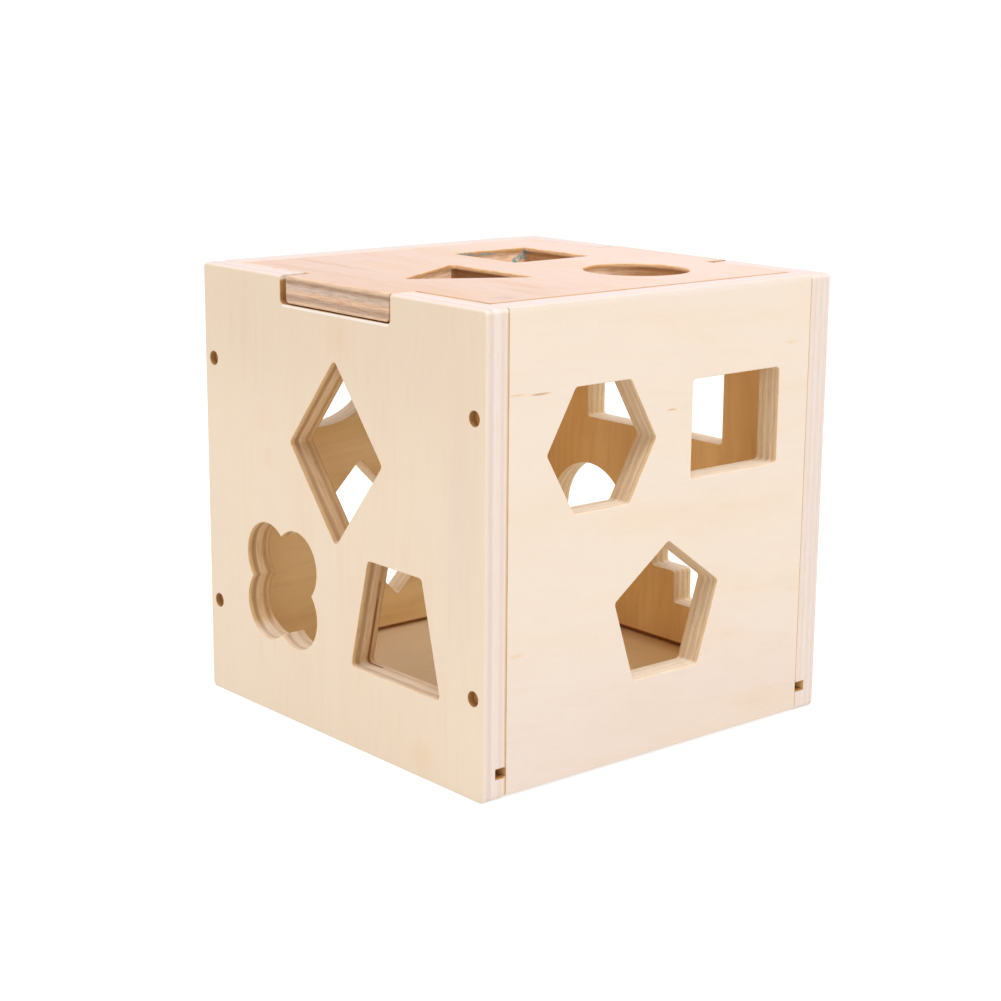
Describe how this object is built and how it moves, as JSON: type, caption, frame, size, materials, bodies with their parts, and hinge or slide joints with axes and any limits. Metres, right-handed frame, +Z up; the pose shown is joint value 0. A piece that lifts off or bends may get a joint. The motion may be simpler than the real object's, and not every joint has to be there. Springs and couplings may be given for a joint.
{
  "type": "shape sorter",
  "caption": "Plywood cube with shaped posting holes in every wall and in its lift-off tabbed lid, for sorting blocks by shape.",
  "frame": {"origin": "middle of the footprint, at the height of the side walls' feet", "axes": "+Z up, the front wall (hexagon, block and pentagon holes) faces -Y, the left wall (rhombus, flower and trapezoid holes) faces -X"},
  "size_m": [0.149, 0.15, 0.151],
  "materials": {
    "wall_plywood": "bare sanded plywood, matte",
    "lid_plywood": "bare sanded plywood, matte",
    "floor_plywood": "bare thin plywood, matte",
    "dowel_wood": "bare beech, matte"
  },
  "bodies": {
    "box": {"left_wall": "wall_plywood", "right_wall": "wall_plywood", "front_wall": "wall_plywood", "back_wall": "wall_plywood", "bottom_panel": "floor_plywood", "dowel_left_front_lower": "dowel_wood", "dowel_left_front_upper": "dowel_wood", "dowel_left_back_lower": "dowel_wood", "dowel_left_back_upper": "dowel_wood", "dowel_right_front_lower": "dowel_wood", "dowel_right_front_upper": "dowel_wood", "dowel_right_back_lower": "dowel_wood", "dowel_right_back_upper": "dowel_wood"},
    "lid": {"lid": "lid_plywood"}
  },
  "joints": [
    {"name": "lid_lift", "type": "slide", "parent": "box", "child": "lid", "axis": [0, 0, 1], "range_m": [0, 0.15]}
  ]
}
